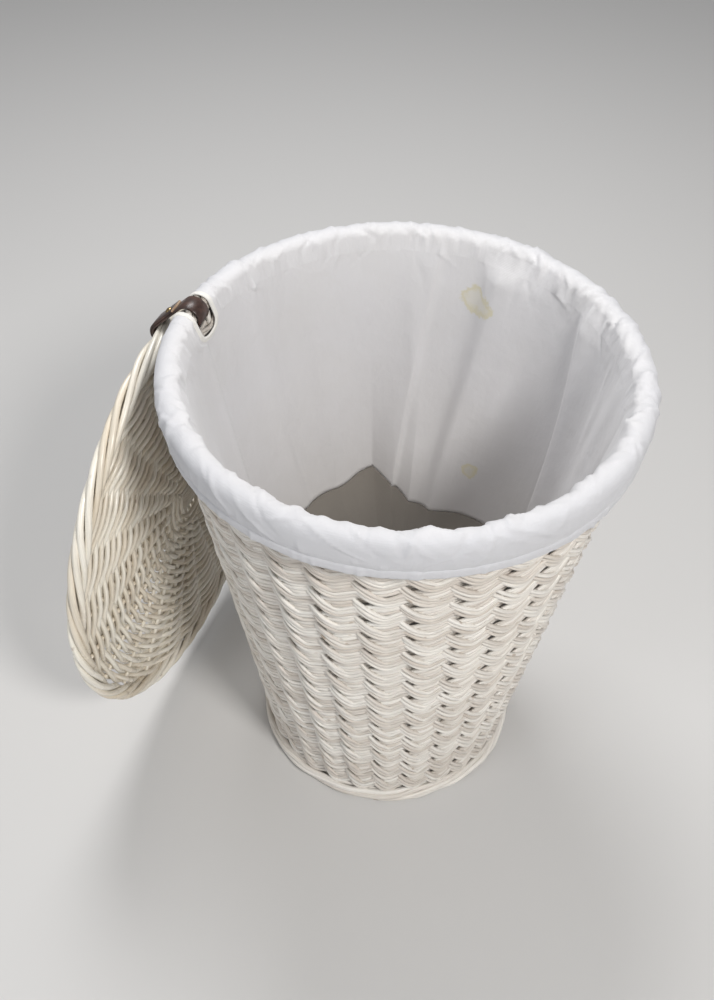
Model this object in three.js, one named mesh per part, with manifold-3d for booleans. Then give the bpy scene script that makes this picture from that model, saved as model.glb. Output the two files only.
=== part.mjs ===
// A round tapered wicker laundry basket: woven side on upright stakes, foot and rim borders,
// a woven base, a loose cotton liner folded over the rim, and a round lid on a leather strap.
// Millimetres, +Z up. The lid hangs open down the outside of the basket.
import * as THREE from "three";
import { mergeVertices } from "three/addons/utils/BufferGeometryUtils.js";
import Module from "manifold-3d";

// Driving dimensions
const HEIGHT = 540; // floor to the top of the liner's fold
const RIM_R = 225; // outside radius at the rim, over the liner
const FOOT_R = 151; // outside radius of the foot border
const FOOT_INNER_R = 122;
const FOOT_H = 20;
const FOOT_EDGE = 4; // rounding of the foot border's edges
const GAP = 0.3; // clearance between pieces that touch
const SEGMENTS = 48; // facets round every ring

const CLOTH = 1.4; // thickness of the liner
const RIM_TUBE = 10; // radius of the rolled rim border
const ROLL = RIM_TUBE + GAP + CLOTH; // radius of the rim with the liner folded over it
const RIM_RING = RIM_R - ROLL;
const RIM_Z = HEIGHT - ROLL;

const WALL = 13; // thickness of the woven side
const WALL_Z0 = FOOT_H + GAP;
const WALL_Z1 = RIM_Z - RIM_TUBE - GAP;
const WALL_R0 = 143; // outside radius of the side at its foot
const WALL_R1 = 213; // and just under the rim
const WALL_SLOPE = (WALL_R1 - WALL_R0) / (WALL_Z1 - WALL_Z0);
const STAKES = 30;
const STAKE_R = 2.5;
const ROD_SIDES = 6; // an even number

const BASE_T = 10; // thickness of the woven base
const BASE_R = 129.4;
const BASE_HOLE = 17; // where the weave starts, round the crossed sticks
const BASE_STICKS = 3; // sticks in each of the two crossed groups
const LINER_FLOOR_Z = 226; // the liner's bag is shorter than the basket and hangs from its rim
const LINER_FLOOR_R = 155;
const LINER_SAG = 45; // how far the middle of the liner's bottom hangs below its seam
const CUFF_DROP = 39; // top of the fold down to the liner's lower hem
const CUFF_R = 219; // mean radius of the cuff at its hem
const HEM_H = 10.5; // height of the elastic casing along the hem
const HEM_T = 3.4;

const LID_TUBE = 10; // radius of the lid's plaited border
const LID_R = 241;
const LID_RING = LID_R - LID_TUBE;
const LID_T = 9; // thickness of the lid's weave
const LID_HOLE = 25;
const LID_STICKS = 6; // sticks in each of the two crossed groups
const STICK_R = 2.1;
const STICK_PITCH = 5; // spacing of the sticks where they lie side by side
const STICK_LAYER = 2.4; // height of each crossed group above and below the middle
const SPLAY_R = 40; // radius by which the sticks have fanned out

const HINGE_AZIMUTH = THREE.MathUtils.degToRad(160.5);
const STRAP_LENGTH = 40; // centre of the rim border to centre of the lid border
const STRAP_DROP = THREE.MathUtils.degToRad(45); // how far the strap hangs below level
const LID_LEAN = THREE.MathUtils.degToRad(1.5); // how far the hanging lid leans outwards
const STRAP_T = 2.2;
const STRAP_W = 20;
const STRAP_INNER = RIM_TUBE + 0.8; // clears both borders, which curve across its width
const STRAP_OUTER = STRAP_INNER + STRAP_T;
const SLOT_W = 26; // width of the openings that the strap is threaded through
const WALL_SLOT_DROP = 20; // how far the side's slot reaches below the rim border's centre
const LID_SLOT_REACH = 32; // how far the lid's slot reaches in from the border's centre
const SLIT_W = 32; // width of the liner's slit
const SLIT_DROP = 26; // how far the slit reaches below the rim border's centre
const BINDING_R = 1; // radius of the tape that binds the slit
const BINDING_ROLL = RIM_TUBE + GAP + BINDING_R + 0.1;
const RIVET_HEAD_R = 4;
const RIVET_HEAD_T = 1.1;
const RIVET_SHANK_R = 1.5;

const wasm = await Module();
wasm.setup();

const WICKER = { color: 0xd8d0c3, roughness: 0.6, metalness: 0 };
const LID_WICKER = { color: 0xcfc4b1, roughness: 0.6, metalness: 0 };
const COTTON = { color: 0xe1dee0, roughness: 0.95, metalness: 0 };
const LEATHER = { color: 0x3a211c, roughness: 0.45, metalness: 0 };
const BRASS = { color: 0x6f5a45, roughness: 0.35, metalness: 0.9 };

function addMesh(parent, name, geometry, look) {
  const mesh = new THREE.Mesh(geometry, new THREE.MeshStandardMaterial(look));
  mesh.name = name;
  parent.add(mesh);
  return mesh;
}

// A closed three.js geometry as a solid for joining and cutting.
function solidOf(geometry) {
  const bare = geometry.index ? geometry.toNonIndexed() : geometry.clone();
  bare.deleteAttribute("normal");
  bare.deleteAttribute("uv");
  const merged = mergeVertices(bare, 1e-4);
  return new wasm.Manifold(
    new wasm.Mesh({
      numProp: 3,
      vertProperties: merged.attributes.position.array,
      triVerts: new Uint32Array(merged.index.array),
    }),
  );
}

function geometryOf(solid) {
  const mesh = solid.getMesh();
  const geometry = new THREE.BufferGeometry();
  geometry.setAttribute("position", new THREE.BufferAttribute(new Float32Array(mesh.vertProperties), 3));
  geometry.setIndex(new THREE.BufferAttribute(new Uint32Array(mesh.triVerts), 1));
  geometry.computeVertexNormals();
  return geometry;
}

function cut(geometry, tools) {
  const solid = tools.reduce((rest, tool) => rest.subtract(solidOf(tool)), solidOf(geometry));
  return geometryOf(solid);
}

// A closed profile of [radius, height] points turned about the Z axis, listed anticlockwise.
function turned(profile) {
  const points = [...profile, profile[0]].map(([r, z]) => new THREE.Vector2(r, z));
  return new THREE.LatheGeometry(points, SEGMENTS).rotateX(Math.PI / 2);
}

function ring(radius, z, tube) {
  return new THREE.TorusGeometry(radius, tube, 8, SEGMENTS).translate(0, 0, z);
}

// A path of straight stretches whose extrusion has one section at each of its points.
class Polyline extends THREE.Curve {
  constructor(points) {
    super();
    this.points = points;
  }
  getPoint(t) {
    const place = t * (this.points.length - 1);
    const i = Math.min(Math.floor(place), this.points.length - 2);
    return this.points[i].clone().lerp(this.points[i + 1], place - i);
  }
  getSpacedPoints() {
    return this.points;
  }
  getTangentAt(t) {
    const last = this.points.length - 1;
    const i = Math.round(t * last);
    const along = (a, b) => this.points[b].clone().sub(this.points[a]).normalize();
    const tangent = new THREE.Vector3();
    if (i > 0) tangent.add(along(i - 1, i));
    if (i < last) tangent.add(along(i, i + 1));
    return tangent.normalize();
  }
}

// A rod of constant radius through the points.
function rod(points, radius) {
  const section = new THREE.Shape().absarc(0, 0, radius, 0, 2 * Math.PI);
  return new THREE.ExtrudeGeometry(section, {
    steps: points.length - 1,
    curveSegments: ROD_SIDES / 2,
    bevelEnabled: false,
    extrudePath: new Polyline(points),
  });
}

function polar(radius, azimuth, z) {
  return new THREE.Vector3(radius * Math.cos(azimuth), radius * Math.sin(azimuth), z);
}

const two = (number) => String(number).padStart(2, "0");
const wallRadius = (z) => WALL_R0 + WALL_SLOPE * (z - WALL_Z0);

// One stick of a crossed group: side by side through the centre, then fanned out to its ray.
function stick(index, count, across, radius, reach) {
  const ranks = index - (count - 1) / 2;
  const offset = ranks * STICK_PITCH;
  const angle = (ranks * Math.PI) / (2 * count);
  const layer = across ? -STICK_LAYER : STICK_LAYER;
  const straight = (count * STICK_PITCH) / 2 + 2;
  const half = [
    new THREE.Vector3(straight, offset, layer),
    polar(Math.max(SPLAY_R, 2 * straight), angle, 0),
    polar(reach, angle, 0),
  ];
  const mirrored = half.map((p) => new THREE.Vector3(-p.x, p.y, p.z)).reverse();
  const geometry = rod([...mirrored, ...half], radius);
  return across ? geometry.rotateZ(Math.PI / 2) : geometry;
}

// A woven disc round two crossed groups of sticks, in the XY plane.
function wovenDisc(parent, name, look, size) {
  const { radius, hole, thickness, count, slots } = size;
  const half = thickness / 2;
  const disc = turned([[hole, -half], [radius, -half], [radius, half], [hole, half]]);
  const channels = [];
  for (const across of [false, true]) {
    for (let i = 0; i < count; i++) {
      const number = two(across ? count + i + 1 : i + 1);
      channels.push(stick(i, count, across, STICK_R + GAP, radius + 4));
      addMesh(parent, `${name}_stick_${number}`, stick(i, count, across, STICK_R, radius - 0.5), look);
    }
  }
  addMesh(parent, `${name}_weave`, cut(disc, [...channels, ...slots]), look);
}

function footBorder(parent) {
  const e = FOOT_EDGE;
  const profile = [
    [FOOT_INNER_R + e, 0],
    [FOOT_R - e, 0],
    [FOOT_R, e],
    [FOOT_R, FOOT_H - e],
    [FOOT_R - e, FOOT_H],
    [FOOT_INNER_R + e, FOOT_H],
    [FOOT_INNER_R, FOOT_H - e],
    [FOOT_INNER_R, e],
  ];
  addMesh(parent, "foot_border", turned(profile), WICKER);
}

function base(parent) {
  const group = new THREE.Group();
  group.position.z = WALL_Z0 + BASE_T / 2;
  parent.add(group);
  const size = { radius: BASE_R, hole: BASE_HOLE, thickness: BASE_T, count: BASE_STICKS, slots: [] };
  wovenDisc(group, "base", WICKER, size);
}

// A stake leans outwards with the taper, in the middle of the side's thickness.
function stakeRod(index, radius, z0, z1) {
  const azimuth = HINGE_AZIMUTH + ((index + 0.5) * 2 * Math.PI) / STAKES;
  const ends = [z0, z1].map((z) => polar(wallRadius(z) - WALL / 2, azimuth, z));
  return rod(ends, radius);
}

// A block at the hinge, from one radius to another and from one height to another.
function hingeBlock(r0, r1, z0, z1, width) {
  const block = new THREE.BoxGeometry(r1 - r0, width, z1 - z0);
  return block.translate((r0 + r1) / 2, 0, (z0 + z1) / 2).rotateZ(HINGE_AZIMUTH);
}

function side(parent) {
  const shell = turned([
    [WALL_R0 - WALL, WALL_Z0],
    [WALL_R0, WALL_Z0],
    [WALL_R1, WALL_Z1],
    [WALL_R1 - WALL, WALL_Z1],
  ]);
  const channels = [];
  for (let i = 0; i < STAKES; i++) {
    channels.push(stakeRod(i, STAKE_R + GAP, WALL_Z0 - 5, WALL_Z1 + 5));
    addMesh(parent, `side_stake_${two(i + 1)}`, stakeRod(i, STAKE_R, WALL_Z0 + 0.5, WALL_Z1 - 0.5), WICKER);
  }
  const slot = hingeBlock(WALL_R1 - 30, WALL_R1 + 10, RIM_Z - WALL_SLOT_DROP, RIM_Z, SLOT_W);
  addMesh(parent, "side_weave", cut(shell, [...channels, slot]), WICKER);
  addMesh(parent, "rim_border", ring(RIM_RING, RIM_Z, RIM_TUBE), WICKER);
}

// The liner's side: up the inside, over the rim border and down to the hem.
function linerSide() {
  const inside = (z) => wallRadius(z) - WALL - 2 * GAP;
  const outer = [];
  const inner = [];
  const foldSteps = 8;
  const hem = RIM_Z + ROLL - CUFF_DROP + HEM_H + GAP;
  outer.push([inside(LINER_FLOOR_Z), LINER_FLOOR_Z], [inside(WALL_Z1) - 0.2, WALL_Z1 + 1]);
  inner.push([inside(LINER_FLOOR_Z) - CLOTH, LINER_FLOOR_Z], [inside(WALL_Z1) - 0.2 - CLOTH, WALL_Z1 + 1]);
  for (let i = 0; i <= foldSteps; i++) {
    const turn = Math.PI * (1 - i / foldSteps);
    const point = (radius) => [RIM_RING + radius * Math.cos(turn), RIM_Z + radius * Math.sin(turn)];
    outer.push(point(ROLL - CLOTH));
    inner.push(point(ROLL));
  }
  outer.push([CUFF_R - CLOTH / 2, hem]);
  inner.push([CUFF_R + CLOTH / 2, hem]);
  return turned([...inner, ...outer.reverse()].reverse());
}

function liner(parent) {
  const slit = hingeBlock(RIM_RING - 30, RIM_RING + 20, RIM_Z - SLIT_DROP, RIM_Z + 20, SLIT_W);
  addMesh(parent, "liner_side", cut(linerSide(), [slit]), COTTON);
  const under = [
    [0, LINER_FLOOR_Z - LINER_SAG],
    [LINER_FLOOR_R * 0.6, LINER_FLOOR_Z - LINER_SAG * 0.7],
    [LINER_FLOOR_R, LINER_FLOOR_Z],
  ];
  const over = under.map(([r, z]) => [r, z + CLOTH]).reverse();
  const floor = turned([...under, ...over]);
  addMesh(parent, "liner_base", floor, COTTON);
  const z0 = HEIGHT - CUFF_DROP;
  const casing = turned([
    [CUFF_R - HEM_T / 2, z0],
    [CUFF_R + HEM_T / 2, z0],
    [CUFF_R + HEM_T / 2, z0 + HEM_H],
    [CUFF_R - HEM_T / 2, z0 + HEM_H],
  ]);
  addMesh(parent, "liner_hem_casing", cut(casing, [slit]), COTTON);
}

// The tape round the slit, in the hinge's frame: u outwards from the rim border's centre.
function slitBinding(parent) {
  const y = SLIT_W / 2 - BINDING_R - GAP;
  const sag = RIM_RING - Math.sqrt(RIM_RING ** 2 - y ** 2); // the rim border curves away
  const roll = [0, 45, 90, 135, 180].map((degrees) => {
    const turn = THREE.MathUtils.degToRad(degrees);
    return [BINDING_ROLL * Math.cos(turn), BINDING_ROLL * Math.sin(turn)];
  });
  const inside = [[-16, -7], [-16.6, -12], [-17.3, -18]];
  const route = [[7, -24], [9.5, -12], ...roll, ...inside];
  const down = route.map(([u, z]) => new THREE.Vector3(u - sag, y, z));
  const bend = new THREE.Vector3(-17.8, y / 2, 2 - SLIT_DROP);
  const up = [bend, ...down.slice().reverse()].map((p) => new THREE.Vector3(p.x, -p.y, p.z));
  addMesh(parent, "liner_slit_binding", rod([...down, bend, ...up], BINDING_R), COTTON);
}

// One closed leather band round the rim border and the lid border, from the first to the second.
function strap(parent) {
  const loop = (path, radius) => {
    path.absarc(0, 0, radius, Math.PI / 2, 1.5 * Math.PI, false);
    path.absarc(STRAP_LENGTH, 0, radius, -Math.PI / 2, Math.PI / 2, false);
    path.closePath();
    return path;
  };
  const shape = loop(new THREE.Shape(), STRAP_OUTER);
  shape.holes.push(loop(new THREE.Path(), STRAP_INNER));
  const band = new THREE.ExtrudeGeometry(shape, { depth: STRAP_W, curveSegments: 12, bevelEnabled: false });
  band.translate(0, 0, -STRAP_W / 2).rotateX(Math.PI / 2);
  const hole = new THREE.CylinderGeometry(RIVET_SHANK_R + GAP, RIVET_SHANK_R + GAP, 4 * STRAP_T, 12);
  const rivetZ = (STRAP_INNER + STRAP_OUTER) / 2;
  hole.rotateX(Math.PI / 2).translate(STRAP_LENGTH / 2, 0, rivetZ);
  addMesh(parent, "hinge_strap", cut(band, [hole]), LEATHER);

  const face = STRAP_T / 2 + GAP;
  const rivet = new THREE.LatheGeometry(
    [
      [0, -face - RIVET_HEAD_T],
      [RIVET_HEAD_R, -face - RIVET_HEAD_T],
      [RIVET_HEAD_R, -face],
      [RIVET_SHANK_R, -face],
      [RIVET_SHANK_R, face],
      [RIVET_HEAD_R, face],
      [RIVET_HEAD_R * 0.7, face + RIVET_HEAD_T],
      [0, face + RIVET_HEAD_T],
    ].map(([r, z]) => new THREE.Vector2(r, z)),
    16,
  );
  rivet.rotateX(Math.PI / 2).translate(STRAP_LENGTH / 2, 0, rivetZ);
  addMesh(parent, "strap_rivet", rivet, BRASS);
}

// The lid lies in its group's XY plane; the group's origin is its border's centre at the hinge.
function lid(parent) {
  const group = new THREE.Group();
  group.position.x = LID_RING;
  parent.add(group);
  const radius = LID_RING - LID_TUBE - GAP;
  const slot = new THREE.BoxGeometry(LID_SLOT_REACH, SLOT_W, 2 * LID_T);
  slot.translate(LID_SLOT_REACH / 2 - LID_RING, 0, 0);
  const size = { radius, hole: LID_HOLE, thickness: LID_T, count: LID_STICKS, slots: [slot] };
  wovenDisc(group, "lid", LID_WICKER, size);
  addMesh(group, "lid_border", ring(LID_RING, 0, LID_TUBE), LID_WICKER);
}

const basket = new THREE.Group();
footBorder(basket);
base(basket);
side(basket);
liner(basket);

const hinge = new THREE.Group(); // X outwards, Z up, at the rim border's centre
hinge.position.copy(polar(RIM_RING, HINGE_AZIMUTH, RIM_Z));
hinge.rotation.z = HINGE_AZIMUTH;
basket.add(hinge);
slitBinding(hinge);

const strapGroup = new THREE.Group();
strapGroup.rotation.y = STRAP_DROP;
hinge.add(strapGroup);
strap(strapGroup);

const lidGroup = new THREE.Group();
lidGroup.position.set(STRAP_LENGTH * Math.cos(STRAP_DROP), 0, -STRAP_LENGTH * Math.sin(STRAP_DROP));
lidGroup.rotation.y = Math.PI / 2 - LID_LEAN;
hinge.add(lidGroup);
lid(lidGroup);

// The origin is on the floor, under the middle of the basket and its hanging lid.
const middle = new THREE.Box3().setFromObject(basket, true).getCenter(new THREE.Vector3());
basket.position.set(-middle.x, -middle.y, 0);

export default basket;
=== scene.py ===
"""A round tapered wicker laundry basket with a cotton liner and a woven lid on a leather strap.

The shapes are worked out in millimetres: the basket round its own vertical axis, the strap and the
lid in frames of their own. mesh_object() puts them in the row frame, in metres.
"""

import math

import bpy
import numpy as np
from mathutils import Matrix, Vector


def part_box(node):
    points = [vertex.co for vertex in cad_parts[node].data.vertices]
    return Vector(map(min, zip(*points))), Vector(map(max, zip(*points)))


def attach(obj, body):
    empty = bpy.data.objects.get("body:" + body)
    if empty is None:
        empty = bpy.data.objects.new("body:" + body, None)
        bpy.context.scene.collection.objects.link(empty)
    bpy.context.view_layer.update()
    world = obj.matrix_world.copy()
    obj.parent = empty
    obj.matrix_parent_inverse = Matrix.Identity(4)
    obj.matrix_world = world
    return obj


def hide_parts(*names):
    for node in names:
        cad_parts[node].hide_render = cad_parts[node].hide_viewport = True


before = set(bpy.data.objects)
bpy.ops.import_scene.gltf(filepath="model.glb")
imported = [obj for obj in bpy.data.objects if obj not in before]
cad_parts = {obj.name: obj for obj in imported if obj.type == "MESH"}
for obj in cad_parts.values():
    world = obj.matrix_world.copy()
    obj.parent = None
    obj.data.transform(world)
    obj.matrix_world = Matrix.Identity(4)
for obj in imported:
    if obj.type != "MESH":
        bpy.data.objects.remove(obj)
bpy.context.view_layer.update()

TURN = 2 * math.pi
rng = np.random.default_rng(11)

# Sizes of the basket, in millimetres, as in the CAD model
RIM_RING, RIM_Z = 213.3, 528.3  # middle of the rolled rim border
WALL, WALL_Z0, WALL_Z1 = 13.0, 20.3, 518.0
WALL_R0, WALL_R1 = 143.0, 213.0
STAKES = 30
HINGE = math.radians(160.5)  # azimuth of the strap
STRAP_LENGTH, STRAP_DROP = 40.0, math.radians(45)
LID_RING, LID_LEAN = 231.0, math.radians(1.5)
BASE_Z = 25.3

low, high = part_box("foot_border")
AXIS = (np.array(low) + np.array(high)) * 500.0
AXIS[2] = 0.0


def frame_matrix(origin, x, y, z):
    """The 4x4 matrix that takes a point of a frame to the row frame, in millimetres."""
    m = np.eye(4)
    m[:3, 0], m[:3, 1], m[:3, 2], m[:3, 3] = x, y, z, origin
    return m


OUT = np.array([math.cos(HINGE), math.sin(HINGE), 0.0])
ALONG = np.array([-math.sin(HINGE), math.cos(HINGE), 0.0])
UP = np.array([0.0, 0.0, 1.0])


def hinge_frame(u, z, drop):
    """A frame at the hinge, u outwards and z up from the rim border, with x pointing drop below level."""
    x = OUT * math.cos(drop) - UP * math.sin(drop)
    up = OUT * math.sin(drop) + UP * math.cos(drop)
    return frame_matrix(AXIS + OUT * (RIM_RING + u) + UP * (RIM_Z + z), x, ALONG, up)


BASKET = frame_matrix(AXIS, (1, 0, 0), (0, 1, 0), (0, 0, 1))
STRAP = hinge_frame(0, 0, STRAP_DROP)
lid_x, lid_z = STRAP_LENGTH * math.cos(STRAP_DROP), -STRAP_LENGTH * math.sin(STRAP_DROP)
LID = hinge_frame(lid_x, lid_z, math.pi / 2 - LID_LEAN) @ frame_matrix(
    (LID_RING, 0, 0), (1, 0, 0), (0, 1, 0), (0, 0, 1)
)


# ---------------------------------------------------------------- meshes


def mesh_object(name, where, verts, faces, materials, face_material=None, values=None):
    """A smooth mesh from points in millimetres in the frame where. faces is a list of index arrays."""
    verts = np.asarray(verts, float)
    placed = (verts @ where[:3, :3].T + where[:3, 3]) * 0.001
    loops = np.concatenate([np.asarray(f).ravel() for f in faces]).astype(np.int32)
    sizes = np.concatenate([np.full(len(f), np.asarray(f).shape[1]) for f in faces]).astype(np.int32)
    mesh = bpy.data.meshes.new(name)
    mesh.vertices.add(len(placed))
    mesh.vertices.foreach_set("co", placed.astype(np.float32).ravel())
    mesh.loops.add(len(loops))
    mesh.loops.foreach_set("vertex_index", loops)
    mesh.polygons.add(len(sizes))
    mesh.polygons.foreach_set("loop_start", np.concatenate([[0], np.cumsum(sizes)[:-1]]).astype(np.int32))
    mesh.polygons.foreach_set("loop_total", sizes)
    mesh.polygons.foreach_set("use_smooth", np.ones(len(sizes), bool))
    for material in materials if isinstance(materials, list) else [materials]:
        mesh.materials.append(material)
    if face_material is not None:
        mesh.polygons.foreach_set("material_index", np.asarray(face_material, np.int32))
    mesh.update(calc_edges=True)
    for key, value in (values or {}).items():
        value = np.asarray(value, np.float32)
        if value.ndim == 2:
            layer = mesh.attributes.new(key, "FLOAT_VECTOR", "POINT")
            layer.data.foreach_set("vector", value.ravel())
        else:
            layer = mesh.attributes.new(key, "FLOAT", "POINT")
            layer.data.foreach_set("value", value)
    piece = bpy.data.objects.new(name, mesh)
    bpy.context.collection.objects.link(piece)
    return piece


def unit(v):
    return v / np.maximum(np.linalg.norm(v, axis=-1, keepdims=True), 1e-9)


class Rods:
    """Rods collected into one mesh, each with its own tone and with its grain along its length."""

    def __init__(self):
        self.verts, self.quads, self.caps = [], [], {}
        self.tone, self.grain = [], []
        self.count = 0

    def add(self, path, radius, facing, closed=False, sides=8, flat=1.0):
        """A rod along path. facing is a direction per point across the rod, the way it is flattened."""
        path = np.asarray(path, float)
        n = len(path)
        radius = np.broadcast_to(np.asarray(radius, float), n)
        if closed:
            tangent = np.roll(path, -1, 0) - np.roll(path, 1, 0)
        else:
            tangent = np.gradient(path, axis=0)
        tangent = unit(tangent)
        side = unit(np.cross(tangent, np.broadcast_to(facing, (n, 3))))
        normal = np.cross(side, tangent)
        a = np.arange(sides) * TURN / sides
        c, s = np.cos(a), np.sin(a)
        spoke = normal[:, None] * (c * flat)[None, :, None] + side[:, None] * s[None, :, None]
        points = path[:, None] + spoke * radius[:, None, None]
        i = np.arange(n if closed else n - 1)[:, None] * sides
        j = (i + sides) % (n * sides)
        k = np.arange(sides)[None]
        k2 = (k + 1) % sides
        quads = np.stack([i + k, i + k2, j + k2, j + k], -1).reshape(-1, 4)
        self.quads.append(quads + self.count)
        if not closed:
            first = np.arange(sides)[::-1][None] + self.count
            last = np.arange(sides)[None] + (n - 1) * sides + self.count
            self.caps.setdefault(sides, []).extend([first, last])
        step = np.linalg.norm(np.diff(path, axis=0), axis=1)
        along = np.concatenate([[0], np.cumsum(step)]) + rng.uniform(0, 5000)
        grain = np.stack(np.broadcast_arrays(along[:, None], (c * 2.5)[None], (s * 2.5)[None]), -1)
        self.verts.append(points.reshape(-1, 3))
        self.grain.append(grain.reshape(-1, 3) * 0.001)
        self.tone.append(np.full(n * sides, rng.uniform(0, 1)))
        self.count += n * sides

    def object(self, name, where, material):
        faces = [np.concatenate(self.quads)]
        faces += [np.concatenate(c) for c in self.caps.values()]
        values = {"tone": np.concatenate(self.tone), "grain": np.concatenate(self.grain)}
        return mesh_object(name, where, np.concatenate(self.verts), faces, material, values=values)


def wander(n, size, waves):
    """A smooth random curve of n values, closed on itself."""
    t = np.arange(n) * TURN / n
    total = np.zeros(n)
    for k in range(1, waves + 1):
        total += rng.normal() * np.cos(k * t + rng.uniform(0, TURN)) / math.sqrt(waves)
    return total * size


def smooth(t):
    t = np.clip(t, 0, 1)
    return t * t * (3 - 2 * t)


# ---------------------------------------------------------------- materials


class Nodes:
    """Builds a node material with short calls."""

    def __init__(self, name):
        self.material = bpy.data.materials.new(name)
        self.material.use_nodes = True
        self.tree = self.material.node_tree
        self.shader = self.tree.nodes["Principled BSDF"]

    def node(self, kind, settings=None, **inputs):
        n = self.tree.nodes.new("ShaderNode" + kind)
        for key, value in (settings or {}).items():
            setattr(n, key, value)
        for key, value in inputs.items():
            self.put(n, key.replace("_", " "), value)
        return n

    def put(self, n, key, value):
        socket = n.inputs[int(key[1:]) if key[0] == "i" and key[1:].isdigit() else key]
        if isinstance(value, bpy.types.NodeSocket):
            self.tree.links.new(value, socket)
        else:
            socket.default_value = value

    def math(self, operation, a, b=0.0, c=0.0):
        return self.node("Math", {"operation": operation}, i0=a, i1=b, i2=c).outputs[0]

    def mix(self, factor, a, b, blend="MIX"):
        n = self.node("Mix", {"data_type": "RGBA", "blend_type": blend})
        for socket, value in ((n.inputs[0], factor), (n.inputs[6], a), (n.inputs[7], b)):
            if isinstance(value, bpy.types.NodeSocket):
                self.tree.links.new(value, socket)
            else:
                socket.default_value = value
        return n.outputs[2]

    def span(self, value, a, b, low=0.0, high=1.0):
        n = self.node("MapRange", {"interpolation_type": "SMOOTHSTEP"}, i0=value, i1=a, i2=b, i3=low, i4=high)
        return n.outputs[0]

    def noise(self, vector, scale, detail=2.0, roughness=0.5):
        n = self.node("TexNoise", None, Vector=vector, Scale=scale, Detail=detail, Roughness=roughness)
        return n.outputs["Fac"]

    def stretched(self, vector, x, y, z):
        return self.node("Mapping", None, Vector=vector, Scale=(x, y, z)).outputs[0]

    def bump(self, height, strength, distance, normal=None):
        n = self.node("Bump", None, Strength=strength, Distance=distance, Height=height)
        if normal is not None:
            self.tree.links.new(normal, n.inputs["Normal"])
        return n.outputs[0]

    def finish(self, **inputs):
        for key, value in inputs.items():
            self.put(self.shader, key.replace("_", " "), value)
        return self.material


def rgb(r, g, b):
    return (r, g, b, 1.0)


def willow(name, dark, light, fleck, roughness, coat):
    """Peeled willow: a tone for each rod, streaks along it, blotches and small knots."""
    m = Nodes(name)
    grain = m.node("Attribute", {"attribute_name": "grain"}).outputs["Vector"]
    tone = m.node("Attribute", {"attribute_name": "tone"}).outputs["Fac"]
    place = m.node("TexCoord").outputs["Object"]
    streak = m.noise(m.stretched(grain, 18, 900, 900), 1.0, 3.0, 0.6)
    blotch = m.noise(place, 22.0, 3.0, 0.6)
    slow = m.noise(m.stretched(grain, 9, 60, 60), 1.0, 2.0)
    mixed = m.math("ADD", m.math("MULTIPLY", tone, 0.5), m.math("MULTIPLY", blotch, 0.5))
    colour = m.mix(m.span(mixed, 0.1, 0.9), rgb(*dark), rgb(*light))
    shade = m.span(streak, 0.3, 0.7, 0.9, 1.06)
    grey = m.node("CombineColor", None, Red=shade, Green=shade, Blue=shade).outputs[0]
    colour = m.mix(1.0, colour, grey, "MULTIPLY")
    knot = m.span(m.noise(m.stretched(grain, 70, 130, 130), 1.0, 1.0), 0.72, 0.8)
    colour = m.mix(m.math("MULTIPLY", knot, 0.55), colour, rgb(*fleck))
    warm = m.span(slow, 0.55, 0.8, 0.0, 0.35)
    colour = m.mix(warm, colour, rgb(*fleck), "SOFT_LIGHT")
    height = m.math("ADD", m.math("MULTIPLY", streak, 0.5), m.math("MULTIPLY", slow, 0.8))
    return m.finish(
        Base_Color=colour,
        Roughness=m.span(blotch, 0.3, 0.7, roughness - 0.08, roughness + 0.1),
        Normal=m.bump(height, 0.35, 0.0006),
        Coat_Weight=coat,
        Coat_Roughness=0.3,
        Specular_IOR_Level=0.5,
    )


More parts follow.
